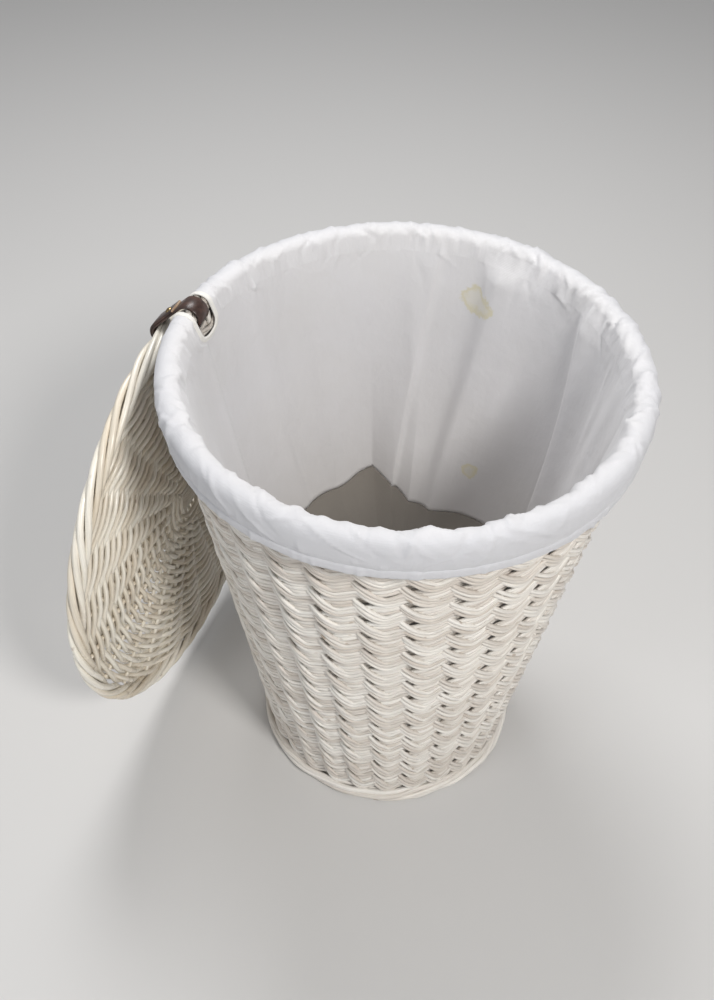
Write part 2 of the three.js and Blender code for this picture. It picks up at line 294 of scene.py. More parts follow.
def cotton(name, light, stains):
    """Thin white cotton in a plain weave, with soft soiling, dried stains at the given points, painted shade
    darker towards the bottom, and a painted shade on the outside of the fold.
    """
    m = Nodes(name)
    place = m.node("TexCoord").outputs["Object"]
    low_height = m.node("SeparateXYZ", None, Vector=place).outputs[2]
    soil = m.noise(place, 9.0, 4.0, 0.6)
    grey = m.span(soil, 0.35, 0.75, 0.0, 0.25)
    colour = m.mix(grey, rgb(*light), rgb(light[0] * 0.93, light[1] * 0.92, light[2] * 0.88))
    # Painted shade: the cloth from the fold's crest down the outside, and the hem casing, is made greyer and
    # darker than the inside.
    outside_shade = m.node("Attribute", {"attribute_name": "outside_shade"}).outputs["Fac"]
    colour = m.mix(outside_shade, colour, rgb(light[0] * 0.84, light[1] * 0.85, light[2] * 0.87))
    # Painted shade: the cloth is mixed towards a brownish grey lower down in the basket, most strongly below
    # 0.18 m.
    painted_deep_shade = m.span(low_height, 0.18, 0.42, 1.0, 0.0)
    colour = m.mix(m.math("MULTIPLY", painted_deep_shade, 0.4), colour, rgb(0.42, 0.39, 0.35))
    ragged = m.noise(place, 45.0, 3.0, 0.7)
    face_on = m.stretched(place, 1.0, 0.3, 1.0)
    for point, size in stains:
        flat_point = (point[0], point[1] * 0.3, point[2])
        away = m.node("VectorMath", {"operation": "DISTANCE"}, i0=face_on, i1=flat_point).outputs["Value"]
        edge = m.math("SUBTRACT", away, m.math("MULTIPLY", ragged, size * 1.6))
        body = m.span(edge, 0.0, -size * 0.25)
        ring = m.math("MULTIPLY", body, m.span(edge, -size * 0.6, -size * 0.1, 0.35, 1.0))
        colour = m.mix(m.math("MULTIPLY", ring, 0.6), colour, rgb(0.62, 0.55, 0.27))
    wave = {"wave_type": "BANDS", "bands_direction": "Z"}
    weft = m.node("TexWave", wave, Vector=place, Scale=260.0, Distortion=0.6, Detail=1.0).outputs["Fac"]
    cloth = m.node("Attribute", {"attribute_name": "cloth"}).outputs["Vector"]
    gathered = m.node("Attribute", {"attribute_name": "gathered"}).outputs["Fac"]
    gathers = m.noise(m.stretched(cloth, 130.0, 26.0, 1.0), 1.0, 3.0, 0.55)
    crease = m.noise(place, 55.0, 4.0, 0.55)
    height = m.math("ADD", m.math("MULTIPLY", crease, 0.5), m.math("MULTIPLY", gathers, gathered))
    normal = m.bump(height, 0.5, 0.004)
    return m.finish(
        Base_Color=colour,
        Roughness=0.92,
        Normal=m.bump(weft, 0.12, 0.0004, normal),
        Sheen_Weight=0.25,
        Sheen_Roughness=0.5,
        Specular_IOR_Level=0.25,
    )


def leather(name, dark, light, roughness):
    """Leather with fine pores, worn lighter in patches."""
    m = Nodes(name)
    place = m.node("TexCoord").outputs["Object"]
    cells = m.node("TexVoronoi", {"feature": "SMOOTH_F1"}, Vector=place, Scale=700.0).outputs["Distance"]
    wear = m.noise(place, 90.0, 4.0, 0.65)
    colour = m.mix(m.span(wear, 0.4, 0.75), rgb(*dark), rgb(*light))
    pores = m.math("ADD", cells, m.math("MULTIPLY", m.noise(place, 400.0, 3.0), 0.6))
    return m.finish(
        Base_Color=colour,
        Roughness=m.span(wear, 0.3, 0.7, roughness, roughness + 0.18),
        Normal=m.bump(pores, 0.4, 0.0004),
        Coat_Weight=0.25,
        Coat_Roughness=0.25,
    )


def brass(name):
    """Tarnished brass."""
    m = Nodes(name)
    place = m.node("TexCoord").outputs["Object"]
    tarnish = m.noise(place, 500.0, 4.0, 0.6)
    colour = m.mix(m.span(tarnish, 0.35, 0.7), rgb(0.5, 0.36, 0.18), rgb(0.16, 0.1, 0.06))
    return m.finish(
        Base_Color=colour,
        Metallic=1.0,
        Roughness=m.span(tarnish, 0.3, 0.7, 0.25, 0.5),
        Normal=m.bump(tarnish, 0.15, 0.0002),
    )


def at_axis(radius, azimuth, z):
    """A point of the basket in the row frame, in metres, from its azimuth in degrees."""
    a = math.radians(azimuth)
    return (np.array([radius * math.cos(a), radius * math.sin(a), z]) + AXIS) * 0.001


side_willow = willow("side_willow", (0.60, 0.54, 0.48), (0.82, 0.79, 0.74), (0.30, 0.19, 0.10), 0.45, 0.2)
lid_willow = willow("lid_willow", (0.72, 0.64, 0.52), (0.89, 0.85, 0.76), (0.26, 0.17, 0.09), 0.3, 0.4)
base_willow = willow("base_willow", (0.48, 0.40, 0.30), (0.66, 0.59, 0.48), (0.26, 0.17, 0.09), 0.55, 0.1)
stains = [(at_axis(189, 65.2, 475), 0.021), (at_axis(150, 55.5, 282), 0.012)]
white_cotton = cotton("white_cotton", (0.70, 0.69, 0.70), stains)
# Painted shade: a dark brown-grey cotton stands in for the shade on the liner's bottom, deep in the basket.
painted_shade_cotton = cotton("painted_shade_cotton", (0.10, 0.086, 0.07), [])
tape = cotton("cotton_tape", (0.78, 0.76, 0.72), [])
brown_leather = leather("brown_leather", (0.030, 0.014, 0.010), (0.085, 0.040, 0.028), 0.32)
cut_leather = leather("cut_leather", (0.30, 0.20, 0.13), (0.50, 0.38, 0.28), 0.6)
old_brass = brass("old_brass")


# ---------------------------------------------------------------- the woven side


def wall_radius(z):
    return WALL_R0 + (WALL_R1 - WALL_R0) * (z - WALL_Z0) / (WALL_Z1 - WALL_Z0)


STAKE_LEAN = math.radians(7.5)  # how far round the stakes wander from the rim to the foot
STAKE_OFFSET = 0.024  # turn of the stakes past the middle between two, at the rim
FOOT_SPACING, RIM_SPACING = 35.5, 25.0  # of the rows


def stake_shift(z):
    return HINGE + TURN / STAKES / 2 + STAKE_OFFSET + STAKE_LEAN * (WALL_Z1 - z) / (WALL_Z1 - WALL_Z0)


def slanted(s):
    """Height in rows and depth, 1 in front to -1 behind, of a weaver that has gone s stakes.

    It comes out high over the others, slants down to a bend on its first stake, climbs across the second
    below the next weaver, and goes behind the third.
    """
    s = np.mod(s, 3.0)
    height = np.interp(s, [0, 0.5, 1, 1.5, 2, 2.22, 2.97, 3], [0, 0.35, 0.55, 0.77, 0.84, 0.77, 0, 0])
    turns = [0, 0.3, 0.6, 1, 1.25, 1.55, 2, 2.22, 2.42, 2.7, 3]
    depth = np.interp(s, turns, [1.15, 0.75, 0.6, 0.95, 0.6, -0.4, -1, -0.5, 0.75, 1.5, 1.15])
    return height - 0.42, depth


def rolling(s):
    """The same for a weaver that only rolls down from one spoke to the next, as in a flat disc."""
    s = np.mod(s, 3.0)
    rise = -np.cos(np.clip(s - 1.35, 0, 1.3) / 1.3 * math.pi)
    height = np.where(s <= 1.0, np.cos(np.clip(s, 0, 1) * math.pi), np.where(s < 1.35, -1.0, rise))
    turn_in = np.cos(np.clip(s - 1.0, 0, 2) * math.pi)
    depth = np.where(s <= 1.0, 1.0 - 0.12 * np.sin(np.clip(s, 0, 1) * math.pi) ** 2, turn_in)
    return height, depth


def weave_ring(rods, spokes, place, facing_of, shape, rise, offset, radius, lanes, per_spoke, stride):
    """One row of three weavers round closed spokes, each weaver of one or more rods side by side.

    place(turn, height, depth) gives points, where turn counts spokes, and facing_of(turn) directions.
    """
    n = spokes * per_spoke
    turn = np.arange(n) / per_spoke
    rough = radius * (0.16 if len(lanes) > 1 else 0.08)
    for weaver in range(3):
        height, depth = shape(turn + weaver + wander(n, rough * 0.08, 9))
        height = (np.roll(height, 1) + 2 * height + np.roll(height, -1)) / 4
        depth = (np.roll(depth, 1) + 2 * depth + np.roll(depth, -1)) / 4
        steep = np.hypot(1, np.gradient(rise * height) * per_spoke / stride)
        for lane in lanes:
            up = rise * height + lane * steep + wander(n, rough, 40)
            out = offset * depth + wander(n, rough, 50)
            path = place(turn + wander(n, rough * 0.06, 12), up, out)
            thick = radius * (1 + wander(n, 0.05, 6)) * rng.uniform(0.92, 1.06)
            rods.add(path, thick, facing_of(turn), closed=True)


NOTCH_Z, NOTCH_HALF = 508.0, 6.0  # the rows dip below this height at the strap, over these degrees each way


def cylinder_place(z_row, tilt):
    """The place of a weaver in the side's row at height z_row, tilted a little out of level."""

    def place(turn, rise, out):
        z = z_row + rise
        a = turn * TURN / STAKES + stake_shift(z)
        from_strap = np.degrees(np.abs((a - HINGE + math.pi) % TURN - math.pi))
        z = z - np.exp(-((from_strap / NOTCH_HALF) ** 4)) * np.maximum(z - NOTCH_Z, 0)
        r = wall_radius(z) - WALL / 2 + out
        return np.stack([r * np.cos(a), r * np.sin(a), z + tilt * np.cos(a - 1.0)], -1)

    return place


def wall_facing(turn):
    a = turn * TURN / STAKES + HINGE
    return np.stack([np.cos(a), np.sin(a), np.zeros_like(a)], -1)


def row_heights():
    """Middle height and spacing of each row; they are packed closer towards the rim."""
    edges = [WALL_Z0 + 1]
    while edges[-1] < WALL_Z1 - 12:
        up = (edges[-1] - WALL_Z0) / (WALL_Z1 - WALL_Z0)
        edges.append(edges[-1] + FOOT_SPACING - (FOOT_SPACING - RIM_SPACING) * up)
    edges = np.array(edges)
    edges = WALL_Z0 + 1 + (edges - edges[0]) * (WALL_Z1 - WALL_Z0 - 3) / (edges[-1] - edges[0])
    return list(zip((edges[1:] + edges[:-1]) / 2, edges[1:] - edges[:-1]))


LANE_SPACING = 0.167  # between the rods of one weaver, as a share of the row
WEAVE_DEPTH, WEAVER_R = 4.6, 2.12  # reach to either side of the stakes, and radius of a rod
for index, (z_row, pitch) in enumerate(row_heights()):
    row = Rods()
    lanes = [pitch * LANE_SPACING * k for k in (1, 0, -1)]
    place = cylinder_place(z_row, rng.normal() * 0.6)
    stride = wall_radius(z_row) * TURN / STAKES
    weave_ring(row, STAKES, place, wall_facing, slanted, pitch, WEAVE_DEPTH, WEAVER_R, lanes, 12, stride)
    piece = row.object(f"side_row_{index + 1:02d}", BASKET, side_willow)
    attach(piece, "basket")
    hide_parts("side_weave")

stakes = Rods()
for i in range(STAKES):
    z = np.linspace(WALL_Z0 - 4, WALL_Z1 + 3, 24)
    a = i * TURN / STAKES + stake_shift(z)
    r = wall_radius(z) - WALL / 2
    path = np.stack([r * np.cos(a), r * np.sin(a), z], -1)
    stakes.add(path, 2.5, (math.cos(a[0]), math.sin(a[0]), 0))
stakes = stakes.object("side_stakes", BASKET, side_willow)
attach(stakes, "basket")
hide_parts(*[f"side_stake_{i + 1:02d}" for i in range(STAKES)])


# ---------------------------------------------------------------- borders


def rope(rods, ring, z, strands, twists, reach, radius, n, rough=0.25, lowest=-99.0):
    """Strands wound round a ring, like the stake ends of a rolled border."""
    t = np.arange(n) * TURN / n
    uneven = wander(n, rough * 2, 9)
    for strand in range(strands):
        a = t * twists + strand * TURN / strands + wander(n, 0.15, 11)
        out = reach * np.cos(a) + wander(n, rough, 23) + uneven
        rise = np.maximum(reach * np.sin(a) + wander(n, rough, 23), lowest)
        r = ring + out
        path = np.stack([r * np.cos(t), r * np.sin(t), z + rise], -1)
        facing = np.stack([np.cos(a) * np.cos(t), np.cos(a) * np.sin(t), np.sin(a)], -1)
        rods.add(path, radius * (1 + wander(n, 0.05, 9)), facing, closed=True)


rim = Rods()
rope(rim, RIM_RING, RIM_Z, 5, 17, 6.2, 3.3, 560)
rim = rim.object("rim_border_rods", BASKET, side_willow)
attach(rim, "basket")
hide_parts("rim_border")

foot = Rods()
rope(foot, 140.6, 10.3, 7, 2, 6.3, 3.5, 420, rough=0.5, lowest=-6.4)
foot = foot.object("foot_border_rods", BASKET, side_willow)
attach(foot, "basket")
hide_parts("foot_border")


# ---------------------------------------------------------------- discs


def stick_path(index, count, across, reach, pitch=5.0, layer=2.4, splay=40.0):
    """One stick of a crossed group, as in the CAD model."""
    rank = index - (count - 1) / 2
    angle = rank * math.pi / (2 * count)
    straight = count * pitch / 2 + 2
    bend = max(splay, 2 * straight)
    t = np.array([0, straight, bend, reach], float)
    fine = np.linspace(0, reach, 60)
    x = np.interp(fine, t, [0, straight, bend * math.cos(angle), reach * math.cos(angle)])
    y = np.interp(fine, t, [rank * pitch, rank * pitch, bend * math.sin(angle), reach * math.sin(angle)])
    z = np.interp(fine, t, np.array([1, 1, 0, 0]) * (-layer if across else layer))
    path = np.stack([x, y, z], -1)
    path[1:-1] = (path[:-2] + 2 * path[1:-1] + path[2:]) / 4
    whole = np.concatenate([path[::-1] * np.array([-1, 1, 1]), path[1:]])
    if across:
        whole = np.stack([-whole[:, 1], whole[:, 0], whole[:, 2]], -1)
    return whole


def disc_sticks(name, where, material, count, reach, radius):
    """Two crossed groups of count sticks each, as one piece."""
    sticks = Rods()
    for across in (False, True):
        for i in range(count):
            sticks.add(stick_path(i, count, across, reach), radius, (0, 0, 1))
    return sticks.object(name, where, material)


def upwards(turn):
    """The way a disc's rods face, at any turn."""
    return (0, 0, 1)


def disc_rows(spokes, start, radii, rise, radius, offset, per_spoke=10):
    """Rows of three single weavers round the spokes of a disc. start is the first spoke's angle."""
    rods = Rods()
    for r_row in radii:
        def place(turn, up, out, r_row=r_row):
            a = turn * TURN / spokes + start
            return np.stack([(r_row - up) * np.cos(a), (r_row - up) * np.sin(a), out], -1)

        weave_ring(rods, spokes, place, upwards, rolling, rise, offset, radius, [0], per_spoke, r_row)
    return rods


def tie_rounds(rods, radii, radius, reach):
    """Rounds that bind the two crossed groups, over one group and under the other."""
    n = 96
    t = np.arange(n) * TURN / n
    for i, r in enumerate(radii):
        lift = reach * np.tanh(2.5 * np.cos(2 * t)) * (-1 if i % 2 else 1)
        path = np.stack([(r + wander(n, 0.3, 5)) * np.cos(t), r * np.sin(t), lift], -1)
        rods.add(path, radius, (0, 0, 1), closed=True)


# ---------------------------------------------------------------- the lid

LID_SPOKES = 24
t = np.linspace(0, 1, 15)
lid_radii = 49.5 + 167.0 * (1.08 * t - 0.08 * t**2)
half = len(lid_radii) // 2
for part, radii in (("inner", lid_radii[:half]), ("outer", lid_radii[half:])):
    rods = disc_rows(LID_SPOKES, TURN / LID_SPOKES / 2, radii, 2.9, 2.75, 3.7)
    if part == "inner":
        tie_rounds(rods, [21.5, 26.5, 31.5, 36.5, 41.5], 2.3, 5.0)
    piece = rods.object(f"lid_rows_{part}", LID, lid_willow)
    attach(piece, "lid")
    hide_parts("lid_weave")

lid_sticks = disc_sticks("lid_sticks", LID, lid_willow, 6, 222.0, 2.1)
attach(lid_sticks, "lid")
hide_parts(*[f"lid_stick_{i + 1:02d}" for i in range(12)])

edge = Rods()
rope(edge, LID_RING, 0, 5, 8, 6.0, 3.4, 640, rough=0.35)
edge = edge.object("lid_border_rods", LID, lid_willow)
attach(edge, "lid")
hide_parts("lid_border")


# ---------------------------------------------------------------- the base

BASE = BASKET @ frame_matrix((0, 0, BASE_Z), (1, 0, 0), (0, 1, 0), (0, 0, 1))
rods = disc_rows(12, TURN / 24, np.arange(37.5, 126, 12.2), 3.1, 2.3, 2.7, 16)
tie_rounds(rods, [13, 18, 23, 28], 2.0, 3.4)
base = rods.object("base_rows", BASE, base_willow)
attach(base, "basket")
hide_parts("base_weave")
base_sticks = disc_sticks("base_sticks", BASE, base_willow, 3, 129.0, 2.1)
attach(base_sticks, "basket")
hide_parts(*[f"base_stick_{i + 1:02d}" for i in range(6)])


# ---------------------------------------------------------------- the liner

COLUMNS = 720
ROLL = 11.4  # radius of the cloth's fold over the rim border
LINER_TOP = 519.0  # where the cloth leaves the side for the fold
HUG = 15.4  # how far the cloth lies inside the basket's outer face
CLOTH = 0.0009  # thickness, in metres
SEAM_Z = 228.0  # usual height of the seam round the bottom
HEM_Z = 501.5
CUFF_R = 219.6


def degrees_apart(a, b):
    return (a - b + 180.0) % 360.0 - 180.0


SEAM = [
    # azimuth, radius and height of the seam between the liner's side and its bottom
    (-180, 148, 227), (-150, 140, 230), (-120, 150, 225), (-90, 142, 229), (-60, 150, 225), (-30, 140, 230),
    (0, 147, 226), (25, 141, 227), (44, 133, 226), (60, 126, 226), (70, 121, 226), (81, 119.5, 226),
    (90, 138, 237), (99, 157, 249), (117, 147, 237), (137, 146, 226), (160, 152, 228), (180, 148, 227),
]
FOLDS = [
    # azimuth at the rim and at the seam, width on the two sides, inward reach at the rim and at the seam
    (79.0, 91.0, 1.7, 8.0, 4.0, 7.0),
    (58.0, 67.0, 12.0, 5.0, 11.0, 9.0),
    (27.5, 13.0, 8.0, 1.6, 5.0, 13.0),
    (2.0, -4.0, 8.0, 8.0, 0.0, 8.0),
    (118.0, 112.0, 6.0, 8.0, 1.5, 6.0),
    (140.0, 134.0, 5.0, 4.0, 2.5, 3.0),
    (164.5, 160.0, 0.8, 2.5, 1.5, 3.5),
    (-160.0, -164.0, 6.0, 8.0, 0.0, 8.0),
    (-125.0, -121.0, 6.0, 5.0, 1.0, 8.0),
    (-95.0, -92.0, 8.0, 6.0, 1.0, 9.0),
    (-60.0, -64.0, 5.0, 6.0, 2.0, 8.0),
    (-25.0, -22.0, 7.0, 7.0, 0.0, 9.0),
]

# Columns start at the strap's azimuth, where the liner is slit, and go once round.
column = np.arange(COLUMNS + 1) / COLUMNS
azimuth = HINGE + column * TURN
azimuth_deg = np.degrees(azimuth)
seam_a, seam_radii, seam_heights = np.transpose(SEAM)
seam_r = np.interp(degrees_apart(azimuth_deg, 0), seam_a, seam_radii)
seam_z = np.interp(degrees_apart(azimuth_deg, 0), seam_a, seam_heights)


def meridian():
    """The cloth's path at one azimuth as (kind, position), from the bottom seam to the hem.

    Kind 0 is the inside, by its share of the way up; 1 the fold, by its angle; 2 the cuff, by its share down.
    """
    inside = [(0, t) for t in 1 - (1 - np.linspace(0, 1, 90)) ** 1.25]
    fold = [(1, a) for a in np.linspace(math.pi, 0, 17)[1:-1]]
    cuff = [(2, t) for t in np.linspace(0, 1, 18)]
    return inside + fold + cuff


def liner_point(kind, value, a, radius, bottom):
    """Radius, height, and the direction that the cloth faces, per column."""
    if kind == 0:
        z = bottom + (LINER_TOP - bottom) * value
        hugging = wall_radius(z) - HUG
        at_seam = wall_radius(bottom) - HUG
        lean = (at_seam - radius) * np.clip(1 - value / 0.75, 0, 1) ** 1.8
        return hugging - lean, z, -np.ones_like(z), np.zeros_like(z)
    if kind == 1:
        one = np.ones_like(a)
        c, s = math.cos(value), math.sin(value)
        return (RIM_RING + ROLL * c) * one, (RIM_Z + ROLL * s) * one, c * one, s * one
    one = np.ones_like(a)
    top_r = RIM_RING + ROLL
    belly = 1.6 * math.sin(value * math.pi)
    r = top_r + (CUFF_R - top_r) * value + belly
    return r * one, (RIM_Z + (HEM_Z - RIM_Z) * value) * one, one, 0 * one


path = meridian()
rows = len(path)
R, Z, NR, NZ = (np.zeros((rows, COLUMNS + 1)) for _ in range(4))
for k, (kind, value) in enumerate(path):
    R[k], Z[k], NR[k], NZ[k] = liner_point(kind, value, azimuth, seam_r, seam_z)
step = np.hypot(np.diff(R.mean(1)), np.diff(Z.mean(1)))
length = np.concatenate([[0], np.cumsum(step)])
crest = length[next(k for k, (kind, value) in enumerate(path) if kind == 1 and value <= math.pi / 2)]
from_crest = (length - crest)[:, None]  # negative on the inside, positive towards the hem
lift = np.zeros_like(R)

# Long folds down the inside
climb = np.clip((Z - SEAM_Z) / (LINER_TOP - SEAM_Z), 0, 1)
inside_only = np.where(from_crest < -14, 1.0, 0.0) * smooth((-from_crest - 14) / 30)
for top, foot_at, right_width, left_width, reach_top, reach_low in FOLDS:
    middle = foot_at + (top - foot_at) * climb
    reach = reach_low + (reach_top - reach_low) * climb
    away = degrees_apart(azimuth_deg[None], middle)
    lift += inside_only * reach * np.exp(-((away / np.where(away > 0, left_width, right_width)) ** 2))
for _ in range(34):
    middle = rng.uniform(0, 360) + rng.uniform(-16, 16) * climb
    z0, tall = rng.uniform(240, 510), rng.uniform(25, 110)
    size = rng.uniform(-1.6, 2.2)
    away = degrees_apart(azimuth_deg[None], middle)
    lift += inside_only * size * np.exp(-((away / rng.uniform(0.8, 4.0)) ** 2) - ((Z - z0) / tall) ** 2)


def pleats(count, at, spread, widths, talls, sizes, slants):
    """Short creases across the rim, at a distance from its crest, negative on the inside."""
    total = np.zeros_like(R)
    for _ in range(count):
        middle, slant, place = rng.uniform(0, 360), rng.normal() * slants, at + rng.normal() * spread
        width, tall, size = rng.uniform(*widths), rng.uniform(*talls), rng.uniform(*sizes)
        rows_near = np.abs(from_crest[:, 0] - place) < 3 * tall
        near = from_crest[rows_near]
        away = np.abs(degrees_apart(azimuth_deg[None], middle + slant * (near - place)))
        total[rows_near] += size * np.exp(-((away / width) ** 1.6) - ((near - place) / tall) ** 2)
    return total


# Gathers over the rim, short and close together, and finer ones along the hem
lift += pleats(110, -11, 7, (0.5, 1.7), (6, 16), (0.6, 2.8), 0.3)
lift -= pleats(120, -8, 9, (0.35, 0.8), (7, 20), (0.6, 2.2), 0.25)
lift += inside_only * pleats(60, -42, 16, (0.6, 1.8), (14, 32), (-0.8, 1.2), 0.12)
lift += pleats(60, 10, 7, (0.4, 1.1), (7, 16), (0.5, 2.2), 0.3)
lift += pleats(130, 34, 5, (0.4, 0.9), (4, 10), (0.3, 1.1), 0.08)
lift = np.maximum(lift, -1.1)
R = R + NR * lift
Z = Z + NZ * lift

# The slit: both sides of the cut move apart, over the rim and down to a round end inside
SLIT_HALF = 16.0
SLIT_END = -41.0  # along the cloth from the crest
above = from_crest[:, 0] - SLIT_END
opening = SLIT_HALF * np.sqrt(np.clip(1 - np.clip(1 - above / SLIT_HALF, 0, 1) ** 2, 0, 1))
opening = np.where(above > 0, opening, 0.0)
round_from = np.minimum(column, 1 - column) * TURN
which = np.where(column < 0.5, 1.0, -1.0)
shift = (opening[:, None] / R) * which[None] * np.exp(-((round_from[None] / 0.16) ** 2))
A = azimuth[None] + shift
verts = np.stack([R * np.cos(A), R * np.sin(A), Z], -1).reshape(-1, 3)
index = np.arange(rows * (COLUMNS + 1)).reshape(rows, COLUMNS + 1)
cut = above > 0.5
index[~cut, COLUMNS] = index[~cut, 0]
quads = np.stack([index[:-1, :-1], index[:-1, 1:], index[1:, 1:], index[1:, :-1]], -1).reshape(-1, 4)
used = np.unique(quads)
renumber = np.full(len(verts), -1)
renumber[used] = np.arange(len(used))
round_way = np.broadcast_to(column[None] * 1.33, R.shape)
down_way = np.broadcast_to(from_crest * 0.001, R.shape)
cloth = np.stack([round_way, down_way, np.zeros_like(R)], -1).reshape(-1, 3)[used]
at_fold = np.exp(-(((from_crest + 14) / 20) ** 2))
at_hem = np.exp(-(((from_crest - 38) / 7) ** 2))
gathered = np.broadcast_to(0.1 + 0.5 * at_fold + 0.3 * at_hem, R.shape).reshape(-1)[used]
# This attribute marks the cloth that gets the painted shade of the outside, from past the fold's crest down
# to the hem.
outside_shade = np.broadcast_to(smooth((from_crest + 12) / 24), R.shape).reshape(-1)[used]
values = {"cloth": cloth, "gathered": gathered, "outside_shade": outside_shade}
liner_faces = [renumber[quads][:, ::-1]]
liner = mesh_object("liner_cloth", BASKET, verts[used], liner_faces, white_cotton, values=values)
thick = liner.modifiers.new("thickness", "SOLIDIFY")
thick.thickness = CLOTH
thick.offset = -1.0
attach(liner, "basket")
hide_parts("liner_side")


# The tape bound round the slit


def slit_edge(side):
    """The cut edge at one side of the slit, moved a little into the cloth, and the way it faces."""
    back = (A[cut, side] + (1 if side == 0 else -1) * np.minimum(1.6, opening[cut]) / R[cut, side])
    c, s = np.cos(back), np.sin(back)
    points = np.stack([R[cut, side] * c, R[cut, side] * s, Z[cut, side]], -1)
    facing = np.stack([NR[cut, side] * c, NR[cut, side] * s, NZ[cut, side]], -1)
    return points, facing


near_edge, near_facing = slit_edge(0)
far_edge, far_facing = slit_edge(-1)
tape_path = np.concatenate([near_edge[::-1], far_edge])
tape_facing = np.concatenate([near_facing[::-1], far_facing])
for _ in range(2):
    tape_path[1:-1] = (tape_path[:-2] + 2 * tape_path[1:-1] + tape_path[2:]) / 4
binding = Rods()
binding.add(tape_path, 2.9 * (1 + wander(len(tape_path), 0.04, 9)), tape_facing, sides=12, flat=0.42)
binding = binding.object("slit_binding", BASKET, tape)
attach(binding, "basket")
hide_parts("liner_slit_binding")

# The casing along the hem, a flat puffed band with a line of stitching sunk in near its top
casing_a = A[-1]
n = len(casing_a)
section = []
for q in np.linspace(0, TURN, 21)[:-1]:
    thick_at = 1.9 * abs(math.sin(q)) ** 0.5 * math.copysign(1, math.sin(q))
    tall_at = 7.4 * math.cos(q)
    section.append((thick_at, tall_at))
puff = np.zeros(n)
for _ in range(170):
    middle, width = rng.uniform(0, 360), rng.uniform(0.35, 0.9)
    puff += rng.uniform(0.1, 0.8) * np.exp(-((degrees_apart(azimuth_deg, middle) / width) ** 2))
sag = wander(n, 0.8, 7) * np.sin(math.pi * column)
ring_verts = []
for thick_at, tall_at in section:
    groove = 0.15 if 4.0 < tall_at < 6.6 else 1.0
    r = CUFF_R + 0.4 + thick_at * groove + puff * (1.0 if thick_at > 0 else 0.3) * groove
    z = HEM_Z + 1.6 + tall_at + sag
    ring_verts.append(np.stack([r * np.cos(casing_a), r * np.sin(casing_a), z], -1))
casing_verts = np.stack(ring_verts, 1).reshape(-1, 3)
k = len(section)
i = np.arange(n - 1)[:, None] * k
j = np.arange(k)[None]
j2 = (j + 1) % k
casing_quads = np.stack([i + j, i + j2, i + k + j2, i + k + j], -1).reshape(-1, 4)[:, ::-1]
casing_caps = np.stack([np.arange(k), (n - 1) * k + np.arange(k)[::-1]])
casing_faces = [casing_quads, casing_caps]
# The whole casing gets the painted shade of the outside.
values = {"outside_shade": np.ones(len(casing_verts))}
casing = mesh_object("hem_casing", BASKET, casing_verts, casing_faces, white_cotton, values=values)
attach(casing, "basket")
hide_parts("liner_hem_casing")

# The liner's bottom, gathered into the seam and sagging in the middle, in cotton painted dark for the shade
# deep in the basket
BOTTOM_RINGS = 70
BOTTOM_Z, BOTTOM_SAG = 226.0, 44.0
share = np.linspace(1, 0.004, BOTTOM_RINGS)[:, None]
bottom_a = azimuth[None, :-1]
pucker = np.zeros((BOTTOM_RINGS, COLUMNS))
for _ in range(60):
    middle, width = rng.uniform(0, 360), rng.uniform(1.0, 4.5)
    reach = rng.uniform(0.12, 0.5)
    away = degrees_apart(azimuth_deg[None, :-1], middle)
    pucker += rng.uniform(-4, 4) * np.exp(-((away / width) ** 2) - ((1 - share) / reach) ** 2)
bottom_r = (R[0, :-1] - 0.6)[None] * share
sunk = BOTTOM_SAG * (1 - share**2.2)
bottom_z = Z[0, :-1][None] * share**3 + BOTTOM_Z * (1 - share**3)
bottom_z = bottom_z - sunk + pucker * share * (1 - share) * 3
bottom_verts = np.stack([bottom_r * np.cos(bottom_a), bottom_r * np.sin(bottom_a), bottom_z], -1)
index = np.arange(BOTTOM_RINGS * COLUMNS).reshape(BOTTOM_RINGS, COLUMNS)
turned = np.roll(index, -1, 1)
quads = np.stack([index[:-1], turned[:-1], turned[1:], index[1:]], -1).reshape(-1, 4)
bottom = mesh_object(
    "liner_bottom", BASKET, bottom_verts.reshape(-1, 3), [quads, index[-1][None]], painted_shade_cotton
)
thick = bottom.modifiers.new("thickness", "SOLIDIFY")
thick.thickness = CLOTH
thick.offset = -1.0
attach(bottom, "basket")
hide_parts("liner_base")


# ---------------------------------------------------------------- the strap

STRAP_T, STRAP_W = 2.2, 20.0
STRAP_R = 10.8 + STRAP_T / 2


def stadium(radius, start, stop, n):
    """Points of the closed band's path between two distances along it, and the way they face.

    The distance starts on the upper side over the lid border, and goes over the rim border first.
    """
    arc = math.pi * radius
    total = 2 * (STRAP_LENGTH + arc)
    points, facing = [], []
    for s in np.linspace(start, stop, n):
        s = s % total
        if s < STRAP_LENGTH:
            points.append((STRAP_LENGTH - s, radius))
            facing.append((0, 1))
        elif s < STRAP_LENGTH + arc:
            a = math.pi / 2 + (s - STRAP_LENGTH) / radius
            points.append((radius * math.cos(a), radius * math.sin(a)))
            facing.append((math.cos(a), math.sin(a)))
        elif s < 2 * STRAP_LENGTH + arc:
            points.append((s - STRAP_LENGTH - arc, -radius))
            facing.append((0, -1))
        else:
            a = -math.pi / 2 + (s - 2 * STRAP_LENGTH - arc) / radius
            points.append((STRAP_LENGTH + radius * math.cos(a), radius * math.sin(a)))
            facing.append((math.cos(a), math.sin(a)))
    return np.array(points), np.array(facing)


